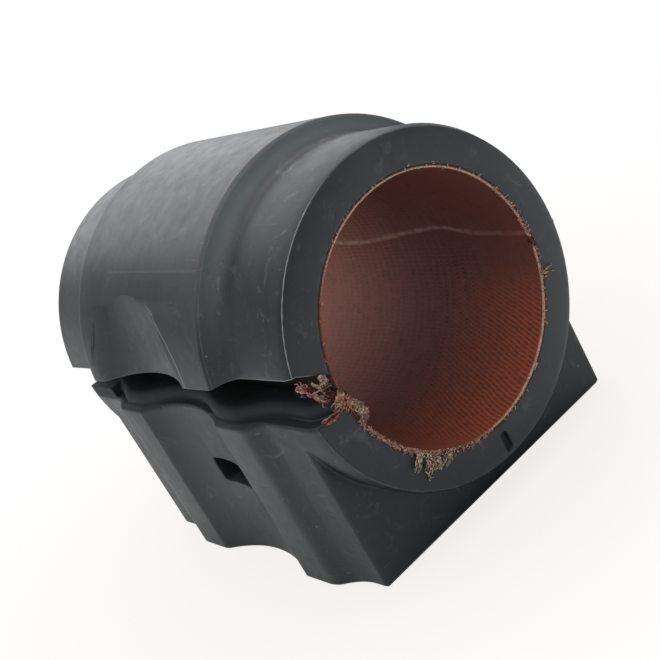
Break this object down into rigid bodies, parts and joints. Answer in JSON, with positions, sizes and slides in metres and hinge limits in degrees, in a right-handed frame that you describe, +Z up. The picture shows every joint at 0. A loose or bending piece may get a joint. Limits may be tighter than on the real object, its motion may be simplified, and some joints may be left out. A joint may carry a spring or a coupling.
{
  "type": "sway bar bushing",
  "caption": "Slit moulded rubber bushing with a round barrel on a ribbed flat-based block and a woven fabric liner bonded in its bore, for clamping a sway bar to a vehicle frame.",
  "frame": {"origin": "on the bore's axis at the middle of the bushing's length", "axes": "+Y along the bore, +Z up from the flat base to the top of the round barrel, and the slit on the -X side"},
  "size_m": [0.0459, 0.0614, 0.0489],
  "materials": {
    "rubber": "satin moulded rubber",
    "woven_fabric": "fine woven cloth, matt with a slight sheen"
  },
  "bodies": {
    "root": {"rubber_body": "rubber", "fabric_liner": "woven_fabric"}
  },
  "joints": []
}
